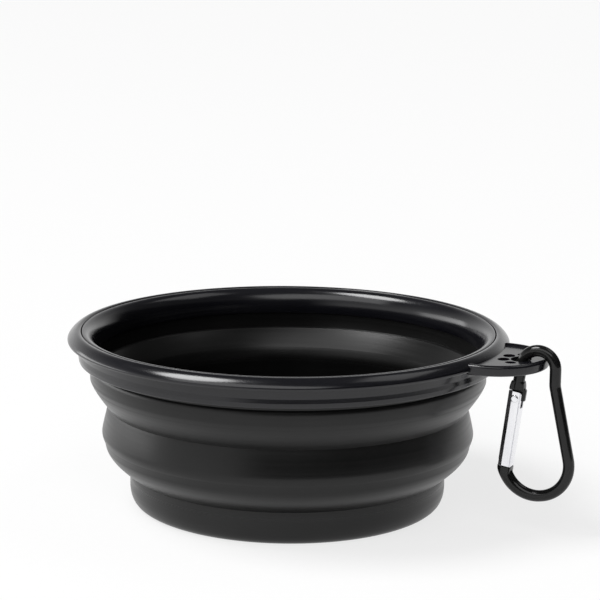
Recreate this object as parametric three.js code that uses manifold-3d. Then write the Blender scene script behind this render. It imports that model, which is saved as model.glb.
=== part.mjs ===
// Collapsible pet bowl: a silicone body that folds at two creases, a two-piece plastic rim with a
// hanging tab, and a bent-wire carabiner hooked through the tab's paw-shaped hole.
// Millimetres, +Z up. The origin is the centre of the base's underside; the tab points along +X.
import * as THREE from 'three';
import { mergeVertices } from 'three/addons/utils/BufferGeometryUtils.js';
import Module from 'manifold-3d';

const wasm = await Module();
wasm.setup();

// Heights of the bowl's zones, from the floor up
const baseHeight = 10.7;
const lowerFoldHeight = 6.8;
const bandHeight = 12.3;
const upperFoldHeight = 8.2;
const collarHeight = 5.6;
const skirtHeight = 5.6;
const flangeThickness = 3.2;

// Rim, from its edge inwards
const rimDiameter = 130;
const flangeWidth = 4;
const flangeOverhang = 2.7;
const flangeCrown = 0.6;
const skirtWall = 3;
const skirtTaper = 0.5;
const skirtGroove = 0.5;
const lowerLipHeight = 2.3;
const linerWall = 1.3;
const linerFlange = 1.6;
const linerDrop = 1.1;
const lipWall = 1;
const lipHeight = 4.8;
const rimFit = 0.15;

// Silicone body
const wall = 1.8;
const floorThickness = 2.4;
const upperFoldStep = 5.3;
const bandFlare = 1.9;
const bandCrestDrop = 8.6;
const bandTuck = 1.1;
const lowerFoldStep = 7.1;
const baseEdgeRadius = 2.6;
const floorFillet = 2;

// Hanging tab on the rim
const tabWidth = 31.6;
const tabReach = 14.8;
const tabThickness = 3.1;
const tabDrop = 1.4;
const tabEdgeRound = 0.5;
const tabLipWidth = 1;
const tabRecess = 0.7;
const tabStripWidth = 4.6;

// Paw-shaped hole: a pad that the wire passes through, and four toes towards the bowl
const pawPadClearance = 1.25;
const pawPadHalfWidth = 3.5;
const pawToeLength = 2;
const pawToeHalfWidth = 1.3;
const pawInnerToeReach = 4.2;
const pawInnerToeSpread = 2.1;
const pawOuterToeReach = 1.3;
const pawOuterToeSpread = 3.9;

// Carabiner: bent wire with a sprung gate
const wireDiameter = 3.3;
const hookClearance = 0.39;
const hookDrop = 2.35;
const loopDrop = 27.65;
const bowRadius = 9.55;
const bowShift = 0.3;
const kinkDrop = 4.6;
const noseAngleDeg = 192;
const noseCutAngleDeg = 195;
const rivetInset = 1.3;
const rivetDrop = 9.25;
const tangThickness = 1.4;
const tangHalfWidth = 1.15;
const tangHeel = 2.7;
const tangEnd = 1.5;
const tangRelief = 0.65;
const shoulderHeight = 2.2;
const shoulderHalfWidth = 2.1;
const shoulderThickness = 2.6;
const tongueThickness = 1.4;
const tongueLength = 2.1;
const gateHalfWidth = 1.9;
const gateThickness = 3.4;
const gateEdgeRound = 0.8;
const gateTopRadius = 2.3;
const gateSlotDepth = 2.7;
const gateStopWall = 0.95;
const boreDiameter = 2;
const boreDepth = 11.4;
const rivetDiameter = 1.5;
const rivetHeadDiameter = 2.1;
const rivetHeadHeight = 0.3;
const plungerDiameter = 1.6;
const plungerLength = 4.4;
const plungerPinDiameter = 0.7;
const plungerPinLength = 1.6;
const plungerGap = 0.42;
const springWire = 0.35;
const springMeanDiameter = 1.25;
const springCurls = 7;
const runGap = 0.3;

// Facets
const ringSides = 60;
const wireSides = 12;
const wireSteps = 58;
const roundSides = 16;
const tabArcSegments = 12;
const coilSteps = 8;
const coilSides = 5;

// Levels and radii that follow from the sizes above
const zLowerFold = baseHeight;
const zLowerCrease = zLowerFold + lowerFoldHeight;
const zNeck = zLowerCrease + bandHeight;
const zCollar = zNeck + upperFoldHeight;
const zSkirt = zCollar + collarHeight;
const zFlange = zSkirt + skirtHeight;
const zCrest = zFlange + flangeThickness;
const zSeam = zCrest - flangeCrown;
const zLedge = zSeam - linerFlange - rimFit;
const flangeRadius = rimDiameter / 2;
const seamRadius = flangeRadius - flangeWidth;
const skirtRadius = flangeRadius - flangeOverhang;
const skirtInner = skirtRadius - skirtWall;
const lipOuter = skirtInner - rimFit;
const lipInner = lipOuter - lipWall;
const linerOuter = lipInner - rimFit;
const linerInner = linerOuter - linerWall;
const collarRadius = linerInner + wall;
const neckRadius = collarRadius - upperFoldStep;
const bandCrestRadius = neckRadius + bandFlare;
const creaseRadius = bandCrestRadius - bandTuck;
const baseRadius = creaseRadius - lowerFoldStep;
const tabTop = zCrest - tabDrop;
const tabEnd = flangeRadius + tabReach;

// Carabiner centres, in the X-Z plane: (x, z)
const wireRadius = wireDiameter / 2;
const hook = new THREE.Vector2(tabEnd - tabStripWidth / 2, tabTop - hookDrop);
const hookRadius = Math.hypot(tabStripWidth / 2 - tabEdgeRound, hookDrop) + hookClearance + wireRadius;
const bow = new THREE.Vector2(hook.x + bowShift, hook.y - loopDrop);
const rivet = new THREE.Vector2(hook.x - hookRadius - rivetInset, hook.y - rivetDrop);
const nose = pointOnCircle(bow, bowRadius, THREE.MathUtils.degToRad(noseCutAngleDeg));
const gateLength = rivet.distanceTo(nose);
const gateTilt = Math.atan2(rivet.x - nose.x, rivet.y - nose.y);
const gateMatrix = new THREE.Matrix4()
  .makeRotationY(gateTilt)
  .setPosition(rivet.x, 0, rivet.y);

const silicone = new THREE.MeshStandardMaterial({ color: 0x2b2b2b, roughness: 0.55, metalness: 0 });
const rimPlastic = new THREE.MeshStandardMaterial({ color: 0x121214, roughness: 0.25, metalness: 0 });
const blackAnodised = new THREE.MeshStandardMaterial({ color: 0x0c0c0d, roughness: 0.25, metalness: 0.6 });
const bareAluminium = new THREE.MeshStandardMaterial({ color: 0xd9d9de, roughness: 0.3, metalness: 1 });
const springSteel = new THREE.MeshStandardMaterial({ color: 0xa8a8a8, roughness: 0.35, metalness: 1 });

function pointOnCircle(centre, radius, angle) {
  return new THREE.Vector2(centre.x + radius * Math.cos(angle), centre.y + radius * Math.sin(angle));
}

// Keeps only the corners' positions and merges the shared ones
function bareGeometry(geometry) {
  geometry.deleteAttribute('normal');
  geometry.deleteAttribute('uv');
  return mergeVertices(geometry);
}

function toSolid(geometry) {
  const bare = bareGeometry(geometry);
  const vertProperties = new Float32Array(bare.attributes.position.array);
  const triVerts = new Uint32Array(bare.index.array);
  return new wasm.Manifold(new wasm.Mesh({ numProp: 3, vertProperties, triVerts }));
}

function toGeometry(solid) {
  const mesh = solid.getMesh();
  const geometry = new THREE.BufferGeometry();
  geometry.setAttribute('position', new THREE.BufferAttribute(mesh.vertProperties, 3));
  geometry.setIndex(new THREE.BufferAttribute(mesh.triVerts, 1));
  return geometry;
}

function namedMesh(name, geometry, material) {
  const bare = bareGeometry(geometry);
  bare.computeVertexNormals();
  const mesh = new THREE.Mesh(bare, material);
  mesh.name = name;
  return mesh;
}

// Turns a profile of (radius, height) points about the Z axis
function turned(points, sides = ringSides) {
  const profile = THREE.ShapeUtils.isClockWise(points) ? [...points].reverse() : points;
  const geometry = new THREE.LatheGeometry(profile, sides);
  return geometry.rotateX(Math.PI / 2);
}

// A closed profile from an outer and an inner path that both run downwards
function wallProfile(outer, inner, divisions) {
  const ring = [...outer.getPoints(divisions), ...inner.getPoints(divisions).reverse()];
  return [...ring, ring[0].clone()];
}

// An upright plate in the X-Z plane, centred on y = 0
function plate(shape, thickness, curveSegments = 6) {
  const options = { depth: thickness, bevelEnabled: false, curveSegments };
  return new THREE.ExtrudeGeometry(shape, options)
    .translate(0, 0, -thickness / 2)
    .rotateX(Math.PI / 2);
}

function boxBetween(low, high) {
  const size = high.map((value, i) => value - low[i]);
  const middle = high.map((value, i) => (value + low[i]) / 2);
  return new THREE.BoxGeometry(...size).translate(...middle);
}

// A rod along Y, through the given point
function crossRod(diameter, length, x, z) {
  return new THREE.CylinderGeometry(diameter / 2, diameter / 2, length, roundSides).translate(x, 0, z);
}

// Silicone body, cut into zones at its fold lines

function collarGeometry() {
  const inside = collarRadius - wall;
  const lipTop = zSkirt + lipHeight + rimFit;
  const lipFoot = zSkirt + linerDrop - rimFit;
  const points = [
    [collarRadius, zCollar],
    [collarRadius, zSkirt - rimFit],
    [lipOuter, zSkirt + rimFit],
    [lipOuter, lipTop],
    [lipInner, lipTop],
    [lipInner, lipFoot],
    [inside, lipFoot],
    [inside, zCollar],
    [collarRadius, zCollar],
  ];
  return turned(points.map(([r, z]) => new THREE.Vector2(r, z)));
}

// The shoulder below the collar rolls in to the neck
function upperFoldPath(inset) {
  const path = new THREE.Path();
  const lift = inset / 3;
  path.moveTo(collarRadius - inset, zCollar);
  path.bezierCurveTo(
    collarRadius - inset - 0.17 * upperFoldStep, zCollar - 0.32 * upperFoldHeight + lift,
    neckRadius - inset + 0.27 * upperFoldStep, zNeck + 0.23 * upperFoldHeight + lift,
    neckRadius - inset, zNeck,
  );
  return path;
}

// The band flares from the neck to a soft crest, then tucks in past a fine ridge
function bandPath(inset) {
  const path = new THREE.Path();
  const zBandCrest = zNeck - bandCrestDrop;
  const tuckHeight = zBandCrest - zLowerCrease;
  const r = bandCrestRadius - inset;
  path.moveTo(neckRadius - inset, zNeck);
  path.quadraticCurveTo(
    neckRadius - inset + 0.65 * bandFlare, zNeck - bandCrestDrop / 2,
    r - 0.03 * bandFlare, zBandCrest + 0.3 * tuckHeight,
  );
  path.quadraticCurveTo(
    r + 0.1 * bandFlare, zBandCrest - 0.05 * tuckHeight,
    r - 0.65 * bandTuck, zBandCrest - 0.5 * tuckHeight,
  );
  path.lineTo(creaseRadius - inset, zLowerCrease);
  return path;
}

function lowerFoldOuterPath() {
  const path = new THREE.Path();
  path.moveTo(creaseRadius, zLowerCrease);
  path.bezierCurveTo(
    creaseRadius - 0.085 * lowerFoldStep, zLowerCrease - 0.34 * lowerFoldHeight,
    baseRadius + 0.46 * lowerFoldStep, zLowerFold + 0.28 * lowerFoldHeight,
    baseRadius, zLowerFold,
  );
  return path;
}

function lowerFoldInnerPath() {
  const path = new THREE.Path();
  const inside = baseRadius - wall;
  path.moveTo(creaseRadius - wall, zLowerCrease);
  path.bezierCurveTo(
    creaseRadius - wall - 0.05 * lowerFoldStep, zLowerCrease - 0.24 * lowerFoldHeight,
    inside + 0.5 * lowerFoldStep, zLowerFold + 0.5 * lowerFoldHeight,
    inside + 0.08 * lowerFoldStep, zLowerFold + 0.25 * lowerFoldHeight,
  );
  path.lineTo(inside, zLowerFold);
  return path;
}

function baseGeometry() {
  const inside = baseRadius - wall;
  const path = new THREE.Path();
  path.moveTo(0, 0);
  path.lineTo(baseRadius - baseEdgeRadius, 0);
  path.quadraticCurveTo(baseRadius, 0, baseRadius, baseEdgeRadius);
  path.lineTo(baseRadius, zLowerFold);
  path.lineTo(inside, zLowerFold);
  path.lineTo(inside, floorThickness + floorFillet);
  path.quadraticCurveTo(inside, floorThickness, inside - floorFillet, floorThickness);
  path.lineTo(0, floorThickness);
  return turned(path.getPoints(4));
}

function siliconePieces() {
  const upperFold = wallProfile(upperFoldPath(0), upperFoldPath(wall), 6);
  const band = wallProfile(bandPath(0), bandPath(wall), 3);
  const lowerFold = wallProfile(lowerFoldOuterPath(), lowerFoldInnerPath(), 5);
  return [
    namedMesh('bowl_collar', collarGeometry(), silicone),
    namedMesh('bowl_upper_fold', turned(upperFold), silicone),
    namedMesh('bowl_band', turned(band), silicone),
    namedMesh('bowl_lower_fold', turned(lowerFold), silicone),
    namedMesh('bowl_base', baseGeometry(), silicone),
  ];
}

// Rim: the outer frame has a rounded flange, a grooved skirt and a ledge that the liner sits on
function rimRingGeometry() {
  const path = new THREE.Path();
  const skirtFoot = skirtRadius - skirtTaper;
  const zGroove = zSkirt + lowerLipHeight;
  const edge = skirtGroove;
  path.moveTo(skirtInner, zSkirt + edge);
  path.lineTo(skirtInner + edge, zSkirt);
  path.lineTo(skirtFoot - edge, zSkirt);
  path.lineTo(skirtFoot, zSkirt + edge);
  path.lineTo(skirtFoot + skirtTaper / 2, zGroove - edge / 2);
  path.lineTo(skirtFoot + skirtTaper / 2 - skirtGroove, zGroove);
  path.lineTo(skirtFoot + skirtTaper / 2, zGroove + edge / 2);
  path.lineTo(skirtRadius, zFlange);
  path.lineTo(flangeRadius - 0.3 * flangeThickness, zFlange);
  path.quadraticCurveTo(flangeRadius, zFlange, flangeRadius, zFlange + 0.4 * flangeThickness);
  path.quadraticCurveTo(flangeRadius, zCrest, flangeRadius - 0.5 * flangeWidth, zCrest);
  path.quadraticCurveTo(seamRadius + 0.2 * flangeWidth, zCrest, seamRadius, zSeam);
  path.lineTo(seamRadius, zLedge);
  path.lineTo(skirtInner, zLedge);
  path.closePath();
  return turned(path.getPoints(4));
}

function linerGeometry() {
  const path = new THREE.Path();
  const zFoot = zSkirt + linerDrop;
  const mouth = linerOuter - linerInner + linerFlange;
  path.moveTo(linerInner, zFoot + rimFit);
  path.lineTo(linerInner + rimFit, zFoot);
  path.lineTo(linerOuter, zFoot);
  path.lineTo(linerOuter, zSeam - linerFlange);
  path.lineTo(seamRadius - rimFit, zSeam - linerFlange);
  path.lineTo(seamRadius - rimFit, zSeam - rimFit);
  path.lineTo(linerInner + mouth, zSeam);
  path.quadraticCurveTo(linerInner, zSeam, linerInner, zSeam - mouth);
  path.closePath();
  return turned(path.getPoints(5));
}

// The tab in plan: a half disc run back to the flange, shrunk by the given margin
function tabShape(margin) {
  const radius = tabWidth / 2 - margin;
  const centre = tabEnd - tabWidth / 2;
  const shape = new THREE.Shape();
  shape.moveTo(0, -radius);
  shape.lineTo(centre, -radius);
  shape.absarc(centre, 0, radius, -Math.PI / 2, Math.PI / 2, false);
  shape.lineTo(0, radius);
  shape.closePath();
  return shape;
}

function drum(radius) {
  return new THREE.CylinderGeometry(radius, radius, 4 * zCrest, ringSides).rotateX(Math.PI / 2);
}

function tabSolid() {
  const body = new THREE.ExtrudeGeometry(tabShape(0), {
    depth: tabThickness - 2 * tabEdgeRound,
    bevelThickness: tabEdgeRound,
    bevelSize: tabEdgeRound,
    bevelOffset: -tabEdgeRound,
    bevelSegments: 2,
    curveSegments: tabArcSegments,
  }).translate(0, 0, tabTop - tabThickness + tabEdgeRound);
  const recess = new THREE.ExtrudeGeometry(tabShape(tabLipWidth), {
    depth: tabThickness,
    bevelEnabled: false,
    curveSegments: tabArcSegments,
  }).translate(0, 0, tabTop - tabRecess);
  const rimGuard = toSolid(drum(flangeRadius + tabRecess / 2));
  return toSolid(body)
    .subtract(toSolid(recess).subtract(rimGuard))
    .subtract(toSolid(drum((seamRadius + skirtRadius) / 2)));
}

function pawCutters() {
  const padHalfLength = wireRadius + pawPadClearance;
  const padX = tabEnd - tabStripWidth - padHalfLength;
  const ovals = [[padX, 0, padHalfLength, pawPadHalfWidth]];
  for (const side of [-1, 1]) {
    ovals.push([padX - pawInnerToeReach, side * pawInnerToeSpread, pawToeLength, pawToeHalfWidth]);
    ovals.push([padX - pawOuterToeReach, side * pawOuterToeSpread, pawToeLength, pawToeHalfWidth]);
  }
  return ovals.map(([x, y, halfLength, halfWidth]) => {
    const shape = new THREE.Shape().absellipse(x, y, halfLength, halfWidth, 0, 2 * Math.PI);
    const options = { depth: 2 * tabThickness, bevelEnabled: false, curveSegments: roundSides / 2 };
    const cutter = new THREE.ExtrudeGeometry(shape, options);
    return toSolid(cutter.translate(0, 0, tabTop - 1.5 * tabThickness));
  });
}

function rimPieces() {
  let frame = toSolid(rimRingGeometry()).add(tabSolid());
  for (const cutter of pawCutters()) {
    frame = frame.subtract(cutter);
  }
  return [
    namedMesh('rim_frame', toGeometry(frame), rimPlastic),
    namedMesh('rim_liner', linerGeometry(), rimPlastic),
  ];
}

// Carabiner wire: from the shoulder up over the hook, down the spine and round the bow to the nose
function wireGeometry() {
  const start = new THREE.Vector3(0, 0, gateTopRadius + 2 * runGap).applyMatrix4(gateMatrix);
  const kink = new THREE.Vector2(hook.x + hookRadius, hook.y - kinkDrop);
  const toKink = kink.clone().sub(bow);
  const spineAngle = toKink.angle() - Math.acos(bowRadius / toKink.length());
  const path = new THREE.Path();
  path.moveTo(start.x, start.z);
  path.lineTo(hook.x - hookRadius, hook.y);
  path.absarc(hook.x, hook.y, hookRadius, Math.PI, 0, true);
  path.lineTo(kink.x, kink.y);
  path.absarc(bow.x, bow.y, bowRadius, spineAngle, THREE.MathUtils.degToRad(noseAngleDeg), true);
  const points = path.getSpacedPoints(wireSteps).map((p) => new THREE.Vector3(p.x, 0, p.y));
  const section = new THREE.Shape().absarc(0, 0, wireRadius, 0, 2 * Math.PI);
  return new THREE.ExtrudeGeometry(section, {
    steps: wireSteps,
    curveSegments: wireSides / 2,
    extrudePath: new THREE.CatmullRomCurve3(points),
  });
}

// The flattened end of the wire that the gate pivots on, in the gate's own frame
function tangShape() {
  const shape = new THREE.Shape();
  const top = gateTopRadius + runGap + shoulderHeight;
  shape.moveTo(-tangHalfWidth, -tangEnd / 3);
  shape.lineTo(-tangHalfWidth + tangRelief, -tangEnd);
  shape.lineTo(tangHalfWidth, -tangEnd);
  shape.lineTo(tangHalfWidth, -tangEnd / 3);
  shape.lineTo(tangHeel, -tangEnd / 3);
  shape.lineTo(tangHeel, top - shoulderHeight);
  shape.lineTo(tangHalfWidth, top);
  shape.lineTo(-tangHalfWidth, top);
  shape.closePath();
  return shape;
}

function shoulderShape() {
  const shape = new THREE.Shape();
  const low = gateTopRadius + runGap;
  const high = low + shoulderHeight;
  shape.moveTo(-shoulderHalfWidth, low);
  shape.lineTo(shoulderHalfWidth, low);
  shape.quadraticCurveTo(shoulderHalfWidth, high, wireRadius, high);
  shape.lineTo(-wireRadius, high);
  shape.quadraticCurveTo(-shoulderHalfWidth, high, -shoulderHalfWidth, low);
  return shape;
}

function tongueShape() {
  const shape = new THREE.Shape();
  const inner = gateHalfWidth - gateStopWall - runGap;
  shape.moveTo(-wireRadius + runGap, -gateLength - wireRadius);
  shape.lineTo(inner, -gateLength - wireRadius);
  shape.lineTo(inner, -gateLength + tongueLength);
  shape.lineTo(-inner, -gateLength + tongueLength);
  shape.lineTo(-wireRadius + runGap, -gateLength + tongueLength - inner);
  shape.closePath();
  return shape;
}

function carabinerBody() {
  const reach = 2 * shoulderHalfWidth;
  const aboveNose = boxBetween([-reach, -reach, -gateLength], [reach, reach, -gateLength + reach]);
  const boltHole = crossRod(rivetDiameter + 2 * rimFit, gateThickness, 0, 0);
  const inGateFrame = (geometry) => toSolid(geometry.applyMatrix4(gateMatrix));
  const body = toSolid(wireGeometry())
    .subtract(inGateFrame(aboveNose))
    .add(inGateFrame(plate(shoulderShape(), shoulderThickness)))
    .add(inGateFrame(plate(tangShape(), tangThickness)))
    .add(inGateFrame(plate(tongueShape(), tongueThickness)))
    .subtract(inGateFrame(boltHole));
  return namedMesh('carabiner_body', toGeometry(body), blackAnodised);
}

// Gate: a round-edged bar, slotted for the tang and the nose, bored for its spring.
// The outline lies inside the rounded edge, which the bevel then adds all round.
function gateShape() {
  const shape = new THREE.Shape();
  const halfWidth = gateHalfWidth - gateEdgeRound;
  const topRadius = gateTopRadius - gateEdgeRound;
  const foot = -gateLength + runGap + gateEdgeRound;
  const corner = Math.acos(halfWidth / topRadius);
  shape.moveTo(-halfWidth, foot);
  shape.lineTo(halfWidth, foot);
  shape.absarc(0, 0, topRadius, corner, Math.PI - corner, false);
  shape.closePath();
  return shape;
}

function gateGeometry() {
  const bar = new THREE.ExtrudeGeometry(gateShape(), {
    depth: gateThickness - 2 * gateEdgeRound,
    bevelThickness: gateEdgeRound,
    bevelSize: gateEdgeRound,
    bevelSegments: 2,
    curveSegments: 8,
  }).translate(0, 0, gateEdgeRound - gateThickness / 2).rotateX(Math.PI / 2);
  const slotHalf = tangThickness / 2 + runGap;
  const past = 2 * gateTopRadius;
  const tangSlot = boxBetween([-tangHalfWidth - runGap, -slotHalf, -gateSlotDepth], [past, slotHalf, past]);
  const noseHalf = tongueThickness / 2 + runGap;
  const noseSlot = boxBetween(
    [-past, -noseHalf, -gateLength - past],
    [gateHalfWidth - gateStopWall, noseHalf, -gateLength + tongueLength + runGap],
  );
  const bore = new THREE.CylinderGeometry(boreDiameter / 2, boreDiameter / 2, boreDepth, roundSides)
    .rotateX(Math.PI / 2)
    .translate(0, 0, -gateSlotDepth + tangHalfWidth - boreDepth / 2);
  return toGeometry(
    toSolid(bar)
      .subtract(toSolid(tangSlot))
      .subtract(toSolid(noseSlot))
      .subtract(toSolid(bore))
      .subtract(toSolid(crossRod(rivetDiameter + 2 * rimFit, 2 * gateThickness, 0, 0))),
  );
}

function rivetGeometry() {
  const radius = rivetDiameter / 2;
  const headRadius = rivetHeadDiameter / 2;
  const seat = gateThickness / 2 + rimFit / 3;
  const top = seat + rivetHeadHeight;
  const points = [
    [0, -top],
    [0.6 * headRadius, -top],
    [headRadius, -seat - 0.3 * rivetHeadHeight],
    [headRadius, -seat],
    [radius, -seat],
    [radius, seat],
    [headRadius, seat],
    [headRadius, seat + 0.3 * rivetHeadHeight],
    [0.6 * headRadius, top],
    [0, top],
  ];
  return turned(points.map(([r, z]) => new THREE.Vector2(r, z)), roundSides).rotateX(Math.PI / 2);
}

// The plunger's head bears on the tang's end, and its pin guides the spring
function plungerGeometry() {
  const top = -tangEnd - plungerGap;
  const points = [
    [0, top],
    [plungerDiameter / 2, top],
    [plungerDiameter / 2, top - plungerLength],
    [plungerPinDiameter / 2, top - plungerLength],
    [plungerPinDiameter / 2, top - plungerLength - plungerPinLength],
    [0, top - plungerLength - plungerPinLength],
  ];
  return turned(points.map(([r, z]) => new THREE.Vector2(r, z)), roundSides);
}

// One unbroken helical tube between the plunger and the end of the bore
function springGeometry() {
  const top = -tangEnd - plungerGap - plungerLength - runGap - springWire / 2;
  const bottom = -gateSlotDepth + tangHalfWidth - boreDepth + runGap + springWire / 2;
  const pitch = (top - bottom) / springCurls;
  const rings = springCurls * coilSteps;
  const centre = (t) => new THREE.Vector3(
    (springMeanDiameter / 2) * Math.cos(2 * Math.PI * t),
    (springMeanDiameter / 2) * Math.sin(2 * Math.PI * t),
    top - pitch * t,
  );
  const corners = [];
  const faces = [];
  for (let ring = 0; ring <= rings; ring += 1) {
    const t = ring / coilSteps;
    const outward = new THREE.Vector3(Math.cos(2 * Math.PI * t), Math.sin(2 * Math.PI * t), 0);
    for (let side = 0; side < coilSides; side += 1) {
      const angle = (2 * Math.PI * side) / coilSides;
      const corner = centre(t).addScaledVector(outward, (springWire / 2) * Math.cos(angle));
      corner.z += (springWire / 2) * Math.sin(angle);
      corners.push(corner.x, corner.y, corner.z);
      if (ring < rings) {
        const a = ring * coilSides + side;
        const b = ring * coilSides + ((side + 1) % coilSides);
        faces.push(a, a + coilSides, b, b, a + coilSides, b + coilSides);
      }
    }
  }
  for (let side = 1; side < coilSides - 1; side += 1) {
    const last = rings * coilSides;
    faces.push(0, side, side + 1, last, last + side + 1, last + side);
  }
  console.log(`gate_spring least gap to itself: ${(leastCoilGap(centre, rings)).toFixed(2)} mm`);
  const geometry = new THREE.BufferGeometry();
  geometry.setAttribute('position', new THREE.Float32BufferAttribute(corners, 3));
  geometry.setIndex(faces);
  return geometry;
}

// Measured between points of the coil that lie more than half a curl apart
function leastCoilGap(centre, rings) {
  let least = Infinity;
  for (let i = 0; i <= rings; i += 1) {
    for (let j = i + coilSteps / 2; j <= rings; j += 1) {
      least = Math.min(least, centre(i / coilSteps).distanceTo(centre(j / coilSteps)));
    }
  }
  return least - springWire;
}

function gatePieces() {
  const group = new THREE.Group();
  group.position.set(rivet.x, 0, rivet.y);
  group.rotation.y = gateTilt;
  group.add(
    namedMesh('carabiner_gate', gateGeometry(), bareAluminium),
    namedMesh('gate_rivet', rivetGeometry(), bareAluminium),
    namedMesh('gate_plunger', plungerGeometry(), springSteel),
    namedMesh('gate_spring', springGeometry(), springSteel),
  );
  return group;
}

const bowl = new THREE.Group();
bowl.name = 'collapsible_pet_bowl';
bowl.add(...siliconePieces(), ...rimPieces(), carabinerBody(), gatePieces());

export default bowl;
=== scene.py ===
# Collapsible pet bowl: fine silicone walls, rim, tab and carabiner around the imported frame.
# Lengths are written in millimetres and scaled to metres as the pieces are modelled.
import math

import bpy
from mathutils import Matrix, Vector
from mathutils.geometry import interpolate_bezier


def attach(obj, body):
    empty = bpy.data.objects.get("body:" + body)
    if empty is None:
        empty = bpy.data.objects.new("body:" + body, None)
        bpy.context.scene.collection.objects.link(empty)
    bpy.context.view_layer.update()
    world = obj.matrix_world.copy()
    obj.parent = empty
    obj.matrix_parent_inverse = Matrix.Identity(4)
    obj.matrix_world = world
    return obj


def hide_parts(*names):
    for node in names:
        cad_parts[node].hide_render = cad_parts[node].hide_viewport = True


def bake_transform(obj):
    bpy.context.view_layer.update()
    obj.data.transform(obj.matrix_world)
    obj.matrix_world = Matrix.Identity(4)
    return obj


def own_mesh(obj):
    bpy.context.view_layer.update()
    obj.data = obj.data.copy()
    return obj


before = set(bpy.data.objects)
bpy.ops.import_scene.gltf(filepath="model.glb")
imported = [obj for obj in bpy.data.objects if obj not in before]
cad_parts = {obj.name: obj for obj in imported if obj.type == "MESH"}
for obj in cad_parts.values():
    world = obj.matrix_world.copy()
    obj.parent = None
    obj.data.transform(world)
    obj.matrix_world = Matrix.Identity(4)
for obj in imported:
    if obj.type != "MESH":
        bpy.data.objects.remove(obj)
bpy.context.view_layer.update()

MM = 0.001
RING_SIDES = 240

# Levels and radii of the bowl
Z_FOOT = 10.0
Z_LOWER_CREASE = 17.5
Z_NECK = 29.8
Z_COLLAR = 38.0
COLLAR_RADIUS = 58.5
NECK_RADIUS = 53.2
BAND_RADIUS = 55.1
CREASE_RADIUS = 54.0
BASE_RADIUS = 46.9
WALL = 1.8
NECK_WALL = 1.0
FLOOR_THICKNESS = 2.4

# Rim
Z_SKIRT = 43.6
Z_FLANGE = 49.2
Z_CREST = 52.4
RIM_RADIUS = 65.0

# Hanging tab
TAB_TOP = 51.4
TAB_THICKNESS = 3.1
TAB_RADIUS = 15.8
TAB_CENTRE = 64.0
TAB_ROOT = 2.5
TAB_LIP = 0.3
TAB_RECESS = 0.7

# Carabiner, in the X-Z plane
WIRE_RADIUS = 1.65
HOOK = Vector((77.5, 0, 48.65))
BOW = Vector((77.8, 0, 21.0))
RIVET = Vector((71.2, 0, 39.4))
TANG_THICKNESS = 1.4

# Gate, in its own frame: Z along the bar from the rivet, X towards the inside of the loop
GATE_LENGTH = 20.44
GATE_OUTER = -2.2
GATE_INNER = 1.9
GATE_WIDTH = 3.4
SLOT_SIDE = 1.0
GATE_TILT = math.radians(7.17)
GATE_FRAME = Matrix.Translation(RIVET * MM) @ Matrix.Rotation(GATE_TILT, 4, "Y")

# Angle of the photographed side from the tab
PHOTO_SIDE = -65


# Modelling tools

def begin(name):
    """Names the primitive that was just added, applies its placement and opens it for editing."""
    piece = bpy.context.object
    piece.name = name
    bpy.ops.object.transform_apply(location=True, rotation=True, scale=True)
    bpy.ops.object.mode_set(mode="EDIT")
    bpy.ops.mesh.select_all(action="SELECT")
    return piece


def begin_cutter(name):
    """Names the primitive that was just added and leaves it whole, as a tool for cutting."""
    cutter = begin(name)
    bpy.ops.object.mode_set(mode="OBJECT")
    return cutter


def deselect():
    bpy.ops.object.select_all(action="DESELECT")


def choose(piece):
    """Makes the piece the only selected object, and the active one."""
    deselect()
    piece.select_set(True)
    bpy.context.view_layer.objects.active = piece


def finish_shell():
    """Merges what meets, turns all faces outwards and leaves edit mode."""
    bpy.ops.mesh.select_all(action="SELECT")
    bpy.ops.mesh.remove_doubles(threshold=0.002 * MM)
    bpy.ops.mesh.normals_make_consistent(inside=False)
    bpy.ops.object.mode_set(mode="OBJECT")


def smooth(piece):
    """Shades the piece smooth, apart from its sharp edges."""
    choose(piece)
    bpy.ops.object.shade_smooth_by_angle(angle=math.radians(35))
    return piece


def draw(name, outline):
    """Draws a line through (across, up) points in the X-Z plane, one extruded corner at a time."""
    deselect()
    bpy.ops.mesh.primitive_plane_add(size=MM)
    piece = begin(name)
    bpy.ops.mesh.merge(type="CENTER")
    here = Vector((0, 0, 0))
    for number, (across, up) in enumerate(outline):
        there = Vector((across, 0, up)) * MM
        if number == 0:
            bpy.ops.transform.translate(value=there - here)
        else:
            bpy.ops.mesh.extrude_vertices_move(TRANSFORM_OT_translate={"value": there - here})
        here = there
    bpy.ops.mesh.select_all(action="SELECT")
    return piece


def turned(name, outline, sides=RING_SIDES):
    """Spins an outline of (radius, height) points about the Z axis."""
    piece = draw(name, outline)
    bpy.ops.mesh.spin(steps=sides, angle=2 * math.pi, center=(0, 0, 0), axis=(0, 0, 1))
    finish_shell()
    return piece


def plate(name, outline, thickness):
    """Fills an outline in the X-Z plane and thickens it evenly to both sides."""
    piece = draw(name, outline)
    bpy.ops.mesh.remove_doubles(threshold=0.002 * MM)
    bpy.ops.mesh.edge_face_add()
    bpy.ops.transform.translate(value=(0, -thickness / 2 * MM, 0))
    bpy.ops.mesh.extrude_region_move(TRANSFORM_OT_translate={"value": (0, thickness * MM, 0)})
    finish_shell()
    return piece


def combine(piece, other, operation):
    """Joins another solid to the piece, cuts it out, or keeps only what both share."""
    choose(piece)
    bpy.ops.object.modifier_add(type="BOOLEAN")
    boolean = piece.modifiers[-1]
    boolean.operation = operation
    boolean.object = other
    bpy.ops.object.modifier_apply(modifier=boolean.name)
    bpy.data.objects.remove(other, do_unlink=True)


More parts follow.
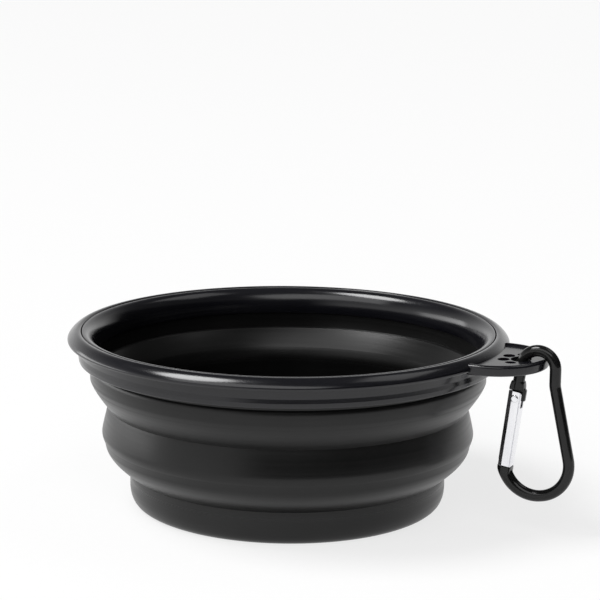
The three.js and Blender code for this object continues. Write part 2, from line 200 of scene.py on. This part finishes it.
def round_edges(piece, width, segments):
    """Bevels every sharp edge of the piece."""
    choose(piece)
    bpy.ops.object.modifier_add(type="BEVEL")
    bevel = piece.modifiers[-1]
    bevel.width = width * MM
    bevel.segments = segments
    bevel.limit_method = "ANGLE"
    bevel.angle_limit = math.radians(40)
    bpy.ops.object.modifier_apply(modifier=bevel.name)


def place_in_gate_frame(piece, turn=Matrix.Identity(4)):
    """Moves a piece modelled at the origin to the gate, after a turn about the origin."""
    choose(piece)
    piece.matrix_world = GATE_FRAME @ turn
    bpy.ops.object.transform_apply(location=True, rotation=True, scale=True)


def curve(start, first_handle, second_handle, end, points=10):
    """Points along a Bezier curve in an outline, both ends included."""
    knots = [Vector((x, y, 0)) for x, y in (start, first_handle, second_handle, end)]
    return [(point.x, point.y) for point in interpolate_bezier(*knots, points)]


def bow_to(start, handle, end, points=8):
    """A curve with one handle."""
    first = [s + 2 / 3 * (h - s) for s, h in zip(start, handle)]
    second = [e + 2 / 3 * (h - e) for e, h in zip(end, handle)]
    return curve(start, first, second, end, points)


def rounded(corners, points=5):
    """An outline whose corners, given as (across, up, radius), are rounded off."""
    outline = []
    count = len(corners)
    for number, (x, y, radius) in enumerate(corners):
        corner = Vector((x, y))
        before = (Vector(corners[number - 1][:2]) - corner).normalized()
        after = (Vector(corners[(number + 1) % count][:2]) - corner).normalized()
        if radius == 0:
            outline.append((x, y))
            continue
        cut = radius / math.tan(before.angle(after) / 2)
        outline += bow_to(corner + before * cut, corner, corner + after * cut, points)
    return outline


# Silicone body

def upper_fold_line():
    """The shoulder from the collar in to the neck, seen from outside."""
    step = COLLAR_RADIUS - NECK_RADIUS
    height = Z_COLLAR - Z_NECK
    first = (COLLAR_RADIUS - 0.17 * step, Z_COLLAR - 0.32 * height)
    second = (NECK_RADIUS + 0.27 * step, Z_NECK + 0.23 * height)
    return curve((COLLAR_RADIUS, Z_COLLAR), first, second, (NECK_RADIUS, Z_NECK), 18)


def upper_wall():
    """Collar and upper fold, with the upright lip that the rim clamps."""
    outside = [(59.1, 48.5), (59.1, 43.8), (57.9, 43.4), (57.9, 42.2)]
    outside += bow_to((57.9, 42.2), (COLLAR_RADIUS, 41.6), (COLLAR_RADIUS, 40.6), 6)[1:] + upper_fold_line()
    neck = NECK_RADIUS - NECK_WALL
    inside = rounded([
        (neck, Z_NECK, 0), (neck, 32.0, 0), (53.15, 34.3, 0.1), (56.5, 39.9, 0.3),
        (57.3, 40.1, 0.2), (57.3, 44.5, 0), (58.2, 44.5, 0), (58.2, 48.5, 0),
    ], 3)
    outline = outside + inside
    return turned("silicone_upper_wall", outline + outline[:1])


def band_line(inset, neck_inset):
    """The band flares from the neck to a soft crest, then tucks in to its lower crease."""
    neck = (NECK_RADIUS - neck_inset, Z_NECK)
    flare = (BAND_RADIUS - inset - 0.057, 22.31)
    tuck = (BAND_RADIUS - inset - 0.715, 19.35)
    crease = (CREASE_RADIUS - inset, Z_LOWER_CREASE)
    line = bow_to(neck, (NECK_RADIUS - inset + 1.235, 25.5), flare, 12)
    line += bow_to(flare, (BAND_RADIUS - inset + 0.19, 21.015), tuck, 8)[1:]
    return line + [crease]


def lower_wall():
    """Band and lower fold."""
    outer_crease = (CREASE_RADIUS, Z_LOWER_CREASE)
    inner_crease = (CREASE_RADIUS - WALL, Z_LOWER_CREASE)
    outer_fold = curve(outer_crease, (53.4, 15.19), (50.17, 12.3), (BASE_RADIUS, Z_FOOT), 16)
    inner_fold = curve(inner_crease, (51.85, 15.87), (48.65, 14.1), (45.67, 12.4), 14)
    outside = band_line(0, 0) + outer_fold[1:]
    inside = band_line(WALL, NECK_WALL) + inner_fold[1:] + [(BASE_RADIUS - WALL, Z_FOOT)]
    outline = outside + inside[::-1]
    return turned("silicone_lower_wall", outline + outline[:1])


def base_cup():
    """The round foot that the bowl stands on, with its floor."""
    inside = BASE_RADIUS - WALL
    outline = [(0, 0), (42.9, 0)]
    outline += bow_to((42.9, 0), (BASE_RADIUS - 0.3, 0), (BASE_RADIUS, 5.0), 10)[1:]
    outline += [(BASE_RADIUS, Z_FOOT), (inside, Z_FOOT), (inside, 4.4)]
    outline += bow_to((inside, 4.4), (inside, FLOOR_THICKNESS), (43.1, FLOOR_THICKNESS))[1:]
    outline += [(0, FLOOR_THICKNESS)]
    return turned("silicone_base", outline)


# Rim

def rim_ring():
    """Domed flange over a skirt with a flared lip, and the ledge that the liner drops into."""
    skirt = rounded([
        (61.0, 50.05, 0), (59.3, 50.05, 0), (59.3, Z_SKIRT, 0.4), (61.75, Z_SKIRT, 0.5),
        (61.85, 45.0, 0.8), (61.65, 46.3, 0.8), (62.3, Z_FLANGE, 0.3),
    ], 6)
    edge = bow_to((64.5, Z_FLANGE), (RIM_RADIUS, Z_FLANGE), (RIM_RADIUS, 49.8), 6)
    crown = curve((RIM_RADIUS, 49.8), (RIM_RADIUS, 50.5), (63.3, Z_CREST), (62.0, Z_CREST), 16)
    fall = bow_to((62.0, Z_CREST), (61.15, 52.35), (61.1, 52.05), 6)
    outline = skirt + edge + crown[1:] + fall[1:] + [(61.0, 51.6)]
    return turned("rim_ring", outline + outline[:1])


def tab_plate():
    """Half disc with a raised lip round its edge, run back into the rim."""
    deselect()
    middle = (TAB_CENTRE * MM, 0, (TAB_TOP - TAB_THICKNESS / 2) * MM)
    bpy.ops.mesh.primitive_cylinder_add(
        vertices=128, radius=TAB_RADIUS * MM, depth=TAB_THICKNESS * MM, location=middle)
    tab = begin("tab_plate")
    bpy.ops.mesh.bisect(plane_co=middle, plane_no=(1, 0, 0), clear_inner=True, use_fill=True)
    bpy.ops.mesh.extrude_region_move(TRANSFORM_OT_translate={"value": (-TAB_ROOT * MM, 0, 0)})
    finish_shell()
    round_edges(tab, 0.8, 5)
    bpy.ops.object.mode_set(mode="EDIT")
    bpy.ops.mesh.select_all(action="DESELECT")
    bpy.ops.object.mode_set(mode="OBJECT")
    for face in tab.data.polygons:
        face.select = face.normal.z > 0.999
    bpy.ops.object.mode_set(mode="EDIT")
    bpy.ops.mesh.inset(thickness=TAB_LIP * MM)
    bpy.ops.mesh.extrude_region_move(TRANSFORM_OT_translate={"value": (0, 0, -TAB_RECESS * MM)})
    finish_shell()
    return tab


def oval_cutter(x, y, half_length, half_width):
    """An upright oval rod through the tab."""
    deselect()
    bpy.ops.mesh.primitive_cylinder_add(
        vertices=48, radius=MM, depth=12 * MM, location=(x * MM, y * MM, TAB_TOP * MM),
        scale=(half_length, half_width, 1))
    return begin_cutter("paw_cutter")


def rim_frame_piece():
    """Ring and tab in one, with the paw-shaped hole: a pad and four toes."""
    rim = rim_ring()
    combine(rim, tab_plate(), "UNION")
    combine(rim, oval_cutter(72.3, 0, 2.9, 3.5), "DIFFERENCE")
    for side in (-1, 1):
        combine(rim, oval_cutter(67.9, side * 2.4, 1.7, 1.9), "DIFFERENCE")
        combine(rim, oval_cutter(71.0, side * 5.3, 1.6, 1.35), "DIFFERENCE")
    rim.name = "rim_with_tab"
    return rim


def liner_piece():
    """Inner ring with its broad rounded mouth."""
    outline = [(56.7, 44.95)]
    outline += bow_to((56.7, 44.95), (56.7, 44.7), (56.95, 44.7), 3)[1:]
    outline += [(58.0, 44.7), (58.0, 48.8), (59.0, 50.2), (60.92, 50.2), (60.92, 51.6), (60.85, 51.9)]
    outline += bow_to((60.85, 51.9), (60.8, 52.2), (60.5, 52.2), 5)[1:]
    outline += curve((60.5, 52.2), (58.4, 52.2), (56.7, 49.6), (56.7, 46.3), 22)[1:]
    return turned("rim_inner_ring", outline + outline[:1])


# Carabiner

def wire_loop():
    """A round wire, extruded along its straight runs, spun round its bends and widened towards the nose."""
    tilt = math.radians(7.95)
    start = Vector((71.56, 0, 42.28))
    deselect()
    bpy.ops.mesh.primitive_circle_add(
        vertices=28, radius=WIRE_RADIUS * MM, fill_type="NGON",
        location=start * MM, rotation=(0, tilt, 0))
    wire = begin("carabiner_wire")

    def run(x, z, divisions):
        for _ in range(divisions):
            step = (x / divisions * MM, 0, z / divisions * MM)
            bpy.ops.mesh.extrude_region_move(TRANSFORM_OT_translate={"value": step})

    def bend(centre, degrees, steps):
        bpy.ops.mesh.spin(
            steps=steps, angle=math.radians(degrees), center=centre * MM, axis=(0, -1, 0))

    run(0.987, 7.069, 3)
    bend(HOOK, 172.0, 44)
    run(0, -3.95, 2)
    bend(Vector((88.5, 0, 44.7)), -12.43, 8)
    run(4.486, -20.36, 6)
    bend(BOW, 92.4, 26)
    for _ in range(20):
        bend(BOW, 4, 1)
        bpy.ops.transform.resize(value=(1.0015, 1, 1.0015), center_override=BOW * MM)
        bpy.ops.transform.resize(value=(1.009, 1, 1.009))
    finish_shell()
    return wire


def clip_plate(name, outline, thickness, edge, segments):
    """A flat plate with rounded edges, drawn in the gate's own frame."""
    piece = plate(name, outline, thickness)
    round_edges(piece, edge, segments)
    place_in_gate_frame(piece)
    return piece


def tang_piece():
    """The flattened end of the wire that the gate's top slot straddles."""
    outline = [
        (-1.15, -0.5), (-0.5, -1.5), (1.15, -1.5), (1.15, -0.5),
        (2.7, -0.5), (2.7, 2.6), (1.15, 4.8), (-1.15, 4.8),
    ]
    return clip_plate("tang", outline + outline[:1], TANG_THICKNESS, 0.2, 2)


def shoulder_piece():
    """The flare of the wire just above the gate."""
    outline = [(-2.15, 2.25), (2.15, 2.7)]
    outline += bow_to((2.15, 2.7), (2.15, 4.1), (1.6, 5.2), 6)[1:]
    outline += bow_to((-1.6, 5.2), (-2.15, 4.1), (-2.15, 2.25), 6)
    return clip_plate("shoulder", outline, 3.0, 0.4, 3)


def tongue_piece():
    """The cut end of the nose that stands in the gate's foot slot."""
    low = -GATE_LENGTH - 1.65
    high = -GATE_LENGTH + 1.5
    outline = [(-1.1, low), (0.65, low), (0.65, high), (-0.5, high), (-1.1, high - 0.6)]
    return clip_plate("tongue", outline + outline[:1], TANG_THICKNESS, 0.15, 2)


def bar_section():
    """A long bar along the gate: a sloped outer side, and a fine groove near the inner edge."""
    side = GATE_WIDTH / 2
    slope = [(GATE_OUTER, -0.9, 0.4), (-0.85, -side, 0.4)]
    groove = [(1.45, -side, 0), (1.55, -1.5, 0), (1.65, -side, 0)]
    front = slope + groove + [(GATE_INNER, -side, 0.2)]
    back = [(across, -up, radius) for across, up, radius in reversed(front)]
    section = rounded(front + back)
    bar = plate("bar_section", section + section[:1], 60)
    bar.matrix_world = Matrix.Rotation(math.pi / 2, 4, "X")
    return bar


def nose_piece():
    """The wire's end below the gate, cut from the gate's own section and tapered."""
    top = -GATE_LENGTH
    outline = [(GATE_OUTER, top), (GATE_INNER, top), (GATE_INNER, top - 1.6)]
    outline += bow_to((0.2, top - 3.1), (-2.1, top - 2.0), (GATE_OUTER, top), 8)
    nose = plate("nose", outline, GATE_WIDTH)
    combine(nose, bar_section(), "INTERSECT")
    place_in_gate_frame(nose)
    return nose


def carabiner_piece():
    """Bent wire, with a shoulder and tang above the gate and a nose with its tongue below."""
    body = wire_loop()
    for make in (nose_piece, shoulder_piece, tang_piece, tongue_piece):
        combine(body, make(), "UNION")
    body.name = "carabiner_loop"
    return body


def gate_box(low, high):
    """A cutter between two corners of the gate's own frame."""
    size = [h - l for l, h in zip(low, high)]
    middle = [(h + l) / 2 for l, h in zip(low, high)]
    deselect()
    bpy.ops.mesh.primitive_cube_add(size=MM, location=Vector(middle) * MM, scale=size)
    return begin_cutter("gate_cutter")


def gate_rod(diameter, length):
    """A cutter along the rivet."""
    deselect()
    bpy.ops.mesh.primitive_cylinder_add(
        vertices=32, radius=diameter / 2 * MM, depth=length * MM, rotation=(math.pi / 2, 0, 0))
    return begin_cutter("gate_cutter")


def gate_piece():
    """A bar with a sloped outer side, slotted at its top for the tang and at its foot for the tongue."""
    foot = -GATE_LENGTH + 0.3
    top = 2.05
    outline = rounded([
        (GATE_OUTER, foot, 0.2), (GATE_INNER, foot, 0.2), (GATE_INNER, top, 0.9), (GATE_OUTER, top, 0.3),
    ])
    gate = plate("gate_bar", outline + outline[:1], GATE_WIDTH)
    combine(gate, bar_section(), "INTERSECT")
    top_slot = gate_box((-1.45, -SLOT_SIDE, -2.7), (4.6, SLOT_SIDE, 4.6))
    combine(gate, top_slot, "DIFFERENCE")
    foot_slot = gate_box((-4.6, -SLOT_SIDE, -26), (0.95, SLOT_SIDE, -18.64))
    combine(gate, foot_slot, "DIFFERENCE")
    combine(gate, gate_rod(1.8, 8), "DIFFERENCE")
    place_in_gate_frame(gate)
    gate.name = "carabiner_gate_bar"
    return gate


def rivet_piece():
    """The gate's hinge pin with a low domed head on each side."""
    seat = 1.72
    head = curve((0, 2.05), (0.7, 2.05), (1.15, 2.0), (1.15, seat), 10)
    outline = head + [(0.75, seat), (0.75, -seat)]
    outline += [(across, -up) for across, up in reversed(head)]
    pin = turned("gate_hinge_pin", outline, 32)
    place_in_gate_frame(pin, Matrix.Rotation(math.pi / 2, 4, "X"))
    return pin


def spring_piece():
    """The coil behind the plunger, wound with the screw modifier."""
    top = -6.795
    bottom = -12.475
    turns = 7
    coil_radius = 0.625
    coil_wire = 0.175
    deselect()
    bpy.ops.mesh.primitive_circle_add(
        vertices=10, radius=coil_wire * MM, fill_type="NOTHING",
        location=(coil_radius * MM, 0, bottom * MM), rotation=(math.pi / 2, 0, 0))
    spring = begin("gate_coil")
    bpy.ops.object.mode_set(mode="OBJECT")
    bpy.ops.object.modifier_add(type="SCREW")
    screw = spring.modifiers[-1]
    screw.axis = "Z"
    screw.steps = 28
    screw.render_steps = 28
    screw.iterations = turns
    screw.screw_offset = (top - bottom) / turns * MM
    bpy.ops.object.modifier_apply(modifier=screw.name)
    bpy.ops.object.mode_set(mode="EDIT")
    bpy.ops.mesh.select_all(action="SELECT")
    bpy.ops.mesh.fill_holes(sides=0)
    finish_shell()
    place_in_gate_frame(spring)
    return spring


# Materials

def new_group(name, inputs, outputs):
    """An empty shader group with named inputs, and outputs that are plain numbers."""
    group = bpy.data.node_groups.new(name, "ShaderNodeTree")
    for label, kind, value in inputs:
        socket = group.interface.new_socket(label, in_out="INPUT", socket_type=kind)
        if value is not None:
            socket.default_value = value
    for label in outputs:
        group.interface.new_socket(label, in_out="OUTPUT", socket_type="NodeSocketFloat")
    return group, group.nodes.new("NodeGroupInput"), group.nodes.new("NodeGroupOutput")


def math_node(nodes, links, operation, first, second):
    node = nodes.new("ShaderNodeMath")
    node.operation = operation
    for socket, value in zip(node.inputs, (first, second)):
        if isinstance(value, (int, float)):
            socket.default_value = value
        else:
            links.new(value, socket)
    return node.outputs[0]


def noise(nodes, links, vector, scale, detail=4.0):
    node = nodes.new("ShaderNodeTexNoise")
    node.inputs["Detail"].default_value = detail
    links.new(vector, node.inputs["Vector"])
    if isinstance(scale, (int, float)):
        node.inputs["Scale"].default_value = scale
    else:
        links.new(scale, node.inputs["Scale"])
    return node.outputs["Fac"]


def moulded_grain_group():
    """Fine surface grain and slow handling marks of a moulded piece."""
    inputs = [("Vector", "NodeSocketVector", None), ("Grain Scale", "NodeSocketFloat", 2500.0),
              ("Mark Scale", "NodeSocketFloat", 60.0)]
    group, given, result = new_group("moulded_grain", inputs, ["Grain", "Marks"])
    nodes, links = group.nodes, group.links
    grain = noise(nodes, links, given.outputs["Vector"], given.outputs["Grain Scale"], 3.0)
    marks = noise(nodes, links, given.outputs["Vector"], given.outputs["Mark Scale"], 6.0)
    links.new(grain, result.inputs["Grain"])
    links.new(marks, result.inputs["Marks"])
    return group


def ring_streaks_group():
    """Faint rings round the bowl's axis, as a turned mould leaves them."""
    inputs = [("Vector", "NodeSocketVector", None), ("Scale", "NodeSocketFloat", 900.0)]
    group, given, result = new_group("ring_streaks", inputs, ["Streaks"])
    nodes, links = group.nodes, group.links
    parts = nodes.new("ShaderNodeSeparateXYZ")
    links.new(given.outputs["Vector"], parts.inputs[0])
    squares = [math_node(nodes, links, "MULTIPLY", parts.outputs[i], parts.outputs[i]) for i in (0, 1)]
    radius = math_node(nodes, links, "SQRT", math_node(nodes, links, "ADD", *squares), 0)
    rings = nodes.new("ShaderNodeCombineXYZ")
    links.new(radius, rings.inputs[0])
    links.new(parts.outputs[2], rings.inputs[2])
    links.new(noise(nodes, links, rings.outputs[0], given.outputs["Scale"], 2.0), result.inputs["Streaks"])
    return group


def new_material(name):
    material = bpy.data.materials.new(name)
    material.use_nodes = True
    nodes, links = material.node_tree.nodes, material.node_tree.links
    place = nodes.new("ShaderNodeTexCoord").outputs["Object"]
    return material, nodes, links, nodes["Principled BSDF"], place


def group_node(nodes, links, group, vector, **values):
    node = nodes.new("ShaderNodeGroup")
    node.node_tree = group
    links.new(vector, node.inputs["Vector"])
    for label, value in values.items():
        node.inputs[label.replace("_", " ")].default_value = value
    return node


def ranged(nodes, links, value, low, high):
    """Spreads the middle of a noise value over a range."""
    node = nodes.new("ShaderNodeMapRange")
    node.inputs["From Min"].default_value = 0.3
    node.inputs["From Max"].default_value = 0.7
    node.inputs["To Min"].default_value = low
    node.inputs["To Max"].default_value = high
    links.new(value, node.inputs["Value"])
    return node.outputs["Result"]


def tinted(nodes, links, value, dark, light):
    """A colour between two tones, by a noise value."""
    node = nodes.new("ShaderNodeMix")
    node.data_type = "RGBA"
    node.inputs["A"].default_value = (*dark, 1)
    node.inputs["B"].default_value = (*light, 1)
    links.new(ranged(nodes, links, value, 0.0, 1.0), node.inputs["Factor"])
    return node.outputs["Result"]


def bumped(nodes, links, height, strength, distance, normal=None):
    node = nodes.new("ShaderNodeBump")
    node.inputs["Strength"].default_value = strength
    node.inputs["Distance"].default_value = distance
    links.new(height, node.inputs["Height"])
    if normal is not None:
        links.new(normal, node.inputs["Normal"])
    return node.outputs["Normal"]


def silicone_material(grain_group, streaks_group):
    material, nodes, links, shader, place = new_material("satin_black_silicone")
    grain = group_node(nodes, links, grain_group, place, Grain_Scale=2600.0, Mark_Scale=70.0)
    streaks = group_node(nodes, links, streaks_group, place, Scale=700.0)
    colour = tinted(nodes, links, grain.outputs["Marks"], (0.003, 0.003, 0.003), (0.0055, 0.0055, 0.0055))
    links.new(colour, shader.inputs["Base Color"])
    links.new(ranged(nodes, links, streaks.outputs["Streaks"], 0.26, 0.38), shader.inputs["Roughness"])
    shader.inputs["IOR"].default_value = 1.41
    fine = bumped(nodes, links, grain.outputs["Grain"], 0.12, 0.00003)
    ringed = bumped(nodes, links, streaks.outputs["Streaks"], 0.30, 0.00012, fine)
    links.new(ringed, shader.inputs["Normal"])
    return material


def rim_material(grain_group):
    material, nodes, links, shader, place = new_material("gloss_black_plastic")
    grain = group_node(nodes, links, grain_group, place, Grain_Scale=1500.0, Mark_Scale=45.0)
    colour = tinted(nodes, links, grain.outputs["Marks"], (0.005, 0.005, 0.007), (0.008, 0.008, 0.0105))
    links.new(colour, shader.inputs["Base Color"])
    links.new(ranged(nodes, links, grain.outputs["Marks"], 0.16, 0.21), shader.inputs["Roughness"])
    links.new(bumped(nodes, links, grain.outputs["Grain"], 0.05, 0.00002), shader.inputs["Normal"])
    return material


def anodised_material(grain_group):
    material, nodes, links, shader, place = new_material("black_anodised_wire")
    grain = group_node(nodes, links, grain_group, place, Grain_Scale=3500.0, Mark_Scale=160.0)
    colour = tinted(nodes, links, grain.outputs["Marks"], (0.006, 0.006, 0.006), (0.012, 0.012, 0.012))
    links.new(colour, shader.inputs["Base Color"])
    links.new(ranged(nodes, links, grain.outputs["Marks"], 0.06, 0.10), shader.inputs["Roughness"])
    shader.inputs["Specular IOR Level"].default_value = 0.32
    links.new(bumped(nodes, links, grain.outputs["Grain"], 0.05, 0.00002), shader.inputs["Normal"])
    return material


def gate_material(grain_group):
    """Bright aluminium with fine drawing lines along the bar."""
    material, nodes, links, shader, place = new_material("bright_aluminium")
    turn = nodes.new("ShaderNodeMapping")
    turn.inputs["Rotation"].default_value = (0, -GATE_TILT, 0)
    turn.inputs["Scale"].default_value = (1, 1, 0.04)
    links.new(place, turn.inputs["Vector"])
    along = turn.outputs["Vector"]
    grain = group_node(nodes, links, grain_group, along, Grain_Scale=4000.0, Mark_Scale=500.0)
    colour = tinted(nodes, links, grain.outputs["Marks"], (0.84, 0.84, 0.87), (0.92, 0.92, 0.94))
    links.new(colour, shader.inputs["Base Color"])
    links.new(ranged(nodes, links, grain.outputs["Grain"], 0.20, 0.32), shader.inputs["Roughness"])
    links.new(bumped(nodes, links, grain.outputs["Grain"], 0.06, 0.00002), shader.inputs["Normal"])
    shader.inputs["Metallic"].default_value = 1.0
    return material


def steel_material(grain_group):
    material, nodes, links, shader, place = new_material("drawn_steel")
    grain = group_node(nodes, links, grain_group, place, Grain_Scale=5000.0, Mark_Scale=900.0)
    colour = tinted(nodes, links, grain.outputs["Marks"], (0.42, 0.42, 0.43), (0.55, 0.55, 0.56))
    links.new(colour, shader.inputs["Base Color"])
    links.new(ranged(nodes, links, grain.outputs["Grain"], 0.25, 0.4), shader.inputs["Roughness"])
    shader.inputs["Metallic"].default_value = 1.0
    return material


def dress(piece, material):
    piece.data.materials.clear()
    piece.data.materials.append(material)


# Stage

def background_rays(nodes, links):
    """One for a ray that shows the backdrop, directly or mirrored, and zero for other light."""
    rays = nodes.new("ShaderNodeLightPath")
    seen = math_node(nodes, links, "MAXIMUM", rays.outputs["Is Camera Ray"], rays.outputs["Is Glossy Ray"])
    return math_node(nodes, links, "MAXIMUM", seen, rays.outputs["Is Transmission Ray"])


def floor_material():
    """White paper: lit by the lamps, and lifted towards white where it is seen, with the shadow kept."""
    material, nodes, links, shader, place = new_material("pale_floor")
    grain = noise(nodes, links, place, 400.0)
    colour = tinted(nodes, links, grain, (0.91, 0.91, 0.91), (0.93, 0.93, 0.93))
    links.new(colour, shader.inputs["Base Color"])
    shader.inputs["Roughness"].default_value = 0.9
    shader.inputs["Specular IOR Level"].default_value = 0.1
    white = nodes.new("ShaderNodeEmission")
    blend = nodes.new("ShaderNodeMixShader")
    white_share = 0.76
    lift = math_node(nodes, links, "MULTIPLY", background_rays(nodes, links), white_share)
    links.new(lift, blend.inputs[0])
    links.new(shader.outputs[0], blend.inputs[1])
    links.new(white.outputs[0], blend.inputs[2])
    links.new(blend.outputs[0], nodes["Material Output"].inputs["Surface"])
    return material


def studio_floor():
    deselect()
    bpy.ops.mesh.primitive_plane_add(size=16)
    floor = bpy.context.object
    floor.name = "studio_floor"
    floor.data.materials.append(floor_material())


def direction(azimuth, elevation):
    """A unit vector, by degrees from the photographed side towards the tab and above the floor."""
    turn = math.radians(azimuth + PHOTO_SIDE)
    rise = math.radians(elevation)
    return Vector((math.cos(turn) * math.cos(rise), math.sin(turn) * math.cos(rise), math.sin(rise)))


def key_light(azimuth, elevation, strength, spread):
    """A soft far lamp, which lights the floor evenly."""
    bpy.ops.object.light_add(type="SUN")
    lamp = bpy.context.object
    lamp.name = "key_light"
    lamp.data.energy = strength
    lamp.data.angle = math.radians(spread)
    lamp.rotation_euler = (-direction(azimuth, elevation)).to_track_quat("-Z", "Y").to_euler()


def softbox(name, azimuth, elevation, distance, width, height, power):
    """A broad lamp that faces the bowl."""
    place = direction(azimuth, elevation) * distance
    bpy.ops.object.light_add(type="AREA", location=place)
    lamp = bpy.context.object
    lamp.name = name
    lamp.data.shape = "RECTANGLE"
    lamp.data.size = width
    lamp.data.size_y = height
    lamp.data.energy = power
    lamp.rotation_euler = (-place).to_track_quat("-Z", "Y").to_euler()
    lamp.visible_camera = False


def fading(nodes, links, value, start, end):
    """One below the start of a range, falling to zero at its end."""
    node = nodes.new("ShaderNodeMapRange")
    node.inputs["From Min"].default_value = start
    node.inputs["From Max"].default_value = end
    node.inputs["To Min"].default_value = 1.0
    node.inputs["To Max"].default_value = 0.0
    links.new(value, node.inputs["Value"])
    return node.outputs["Result"]


def screen_material(middle, height):
    """Black cloth that thins out towards its upper edge and its two ends."""
    material, nodes, links, shader, place = new_material("black_cloth")
    shader.inputs["Base Color"].default_value = (0.01, 0.01, 0.01, 1)
    shader.inputs["Roughness"].default_value = 1.0
    shader.inputs["Specular IOR Level"].default_value = 0.0
    parts = nodes.new("ShaderNodeSeparateXYZ")
    links.new(place, parts.inputs[0])
    inwards = nodes.new("ShaderNodeVectorMath")
    inwards.operation = "DOT_PRODUCT"
    inwards.inputs[1].default_value = middle
    links.new(place, inwards.inputs[0])
    upper = fading(nodes, links, parts.outputs["Z"], 0.55 * height, 1.1 * height)
    ends = fading(nodes, links, inwards.outputs["Value"], 0.35 * middle.length_squared, 0.0)
    links.new(math_node(nodes, links, "MULTIPLY", upper, ends), shader.inputs["Alpha"])
    return material


def dark_screen(azimuth, distance, height):
    """A black half-round screen, behind the camera and to its right, that the near side reflects."""
    deselect()
    bpy.ops.mesh.primitive_cylinder_add(
        vertices=64, radius=distance, depth=height, end_fill_type="NOTHING", location=(0, 0, height / 2))
    card = begin("dark_screen")
    bpy.ops.mesh.bisect(plane_co=(0, 0, 0), plane_no=direction(azimuth, 0), clear_inner=True)
    bpy.ops.object.mode_set(mode="OBJECT")
    card.visible_camera = False
    card.data.materials.append(screen_material(direction(azimuth, 0) * distance, height))


def studio_world():
    """White walls at the horizon under a dim ceiling."""
    world = bpy.data.worlds.new("studio_world")
    bpy.context.scene.world = world
    world.use_nodes = True
    nodes, links = world.node_tree.nodes, world.node_tree.links
    parts = nodes.new("ShaderNodeSeparateXYZ")
    links.new(nodes.new("ShaderNodeTexCoord").outputs["Generated"], parts.inputs[0])
    strength = nodes.new("ShaderNodeMapRange")
    strength.inputs["From Min"].default_value = 0.15
    strength.inputs["From Max"].default_value = 0.6
    strength.inputs["To Min"].default_value = 0.95
    strength.inputs["To Max"].default_value = 0.08
    links.new(parts.outputs["Z"], strength.inputs["Value"])
    background = nodes["Background"]
    background.inputs["Color"].default_value = (1, 1, 1, 1)
    links.new(strength.outputs["Result"], background.inputs["Strength"])


def photo_camera():
    data = bpy.data.cameras.new("photo_camera")
    camera = bpy.data.objects.new("photo_camera", data)
    bpy.context.collection.objects.link(camera)
    data.sensor_width = 36
    data.lens = 129.08
    heading = math.radians(24.7)
    tilt = math.radians(90 - 11.77)
    roll = math.radians(0.6)
    camera.matrix_world = (
        Matrix.Translation((0.2620, -0.5619, 0.1899))
        @ Matrix.Rotation(heading, 4, "Z")
        @ Matrix.Rotation(tilt, 4, "X")
        @ Matrix.Rotation(roll, 4, "Z")
    )
    bpy.context.scene.camera = camera


# Assembly

def dress_bowl(silicone):
    upper = smooth(upper_wall())
    dress(upper, silicone)
    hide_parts("bowl_collar", "bowl_upper_fold")
    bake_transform(upper)
    lower = smooth(lower_wall())
    dress(lower, silicone)
    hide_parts("bowl_band", "bowl_lower_fold")
    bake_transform(lower)
    base = smooth(base_cup())
    dress(base, silicone)
    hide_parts("bowl_base")
    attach(base, "base")


def dress_rim(plastic):
    for piece, node in ((rim_frame_piece(), "rim_frame"), (liner_piece(), "rim_liner")):
        smooth(piece)
        dress(piece, plastic)
        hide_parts(node)
        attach(piece, "rim")


def dress_carabiner(anodised, aluminium, steel):
    body = smooth(carabiner_piece())
    dress(body, anodised)
    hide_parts("carabiner_body")
    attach(body, "carabiner")
    for piece, node in ((gate_piece(), "carabiner_gate"), (rivet_piece(), "gate_rivet")):
        smooth(piece)
        dress(piece, aluminium)
        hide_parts(node)
        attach(piece, "gate")
    spring = smooth(spring_piece())
    dress(spring, steel)
    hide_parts("gate_spring")
    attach(spring, "gate")
    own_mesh(spring)
    dress(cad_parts["gate_plunger"], steel)


def main():
    bpy.context.scene.view_settings.view_transform = "Standard"
    grain_group = moulded_grain_group()
    streaks_group = ring_streaks_group()
    dress_bowl(silicone_material(grain_group, streaks_group))
    dress_rim(rim_material(grain_group))
    dress_carabiner(anodised_material(grain_group), gate_material(grain_group), steel_material(grain_group))
    studio_floor()
    studio_world()
    key_light(azimuth=-86, elevation=61, strength=2.3, spread=27)
    softbox("side_light", azimuth=100, elevation=60, distance=1.4, width=0.8, height=0.5, power=1.5)
    softbox("fill_light", azimuth=-25, elevation=46, distance=1.6, width=2.2, height=0.8, power=11)
    softbox("left_light", azimuth=-112, elevation=9, distance=2.0, width=1.6, height=0.5, power=6)
    dark_screen(azimuth=56, distance=1.6, height=1.3)
    photo_camera()


main()
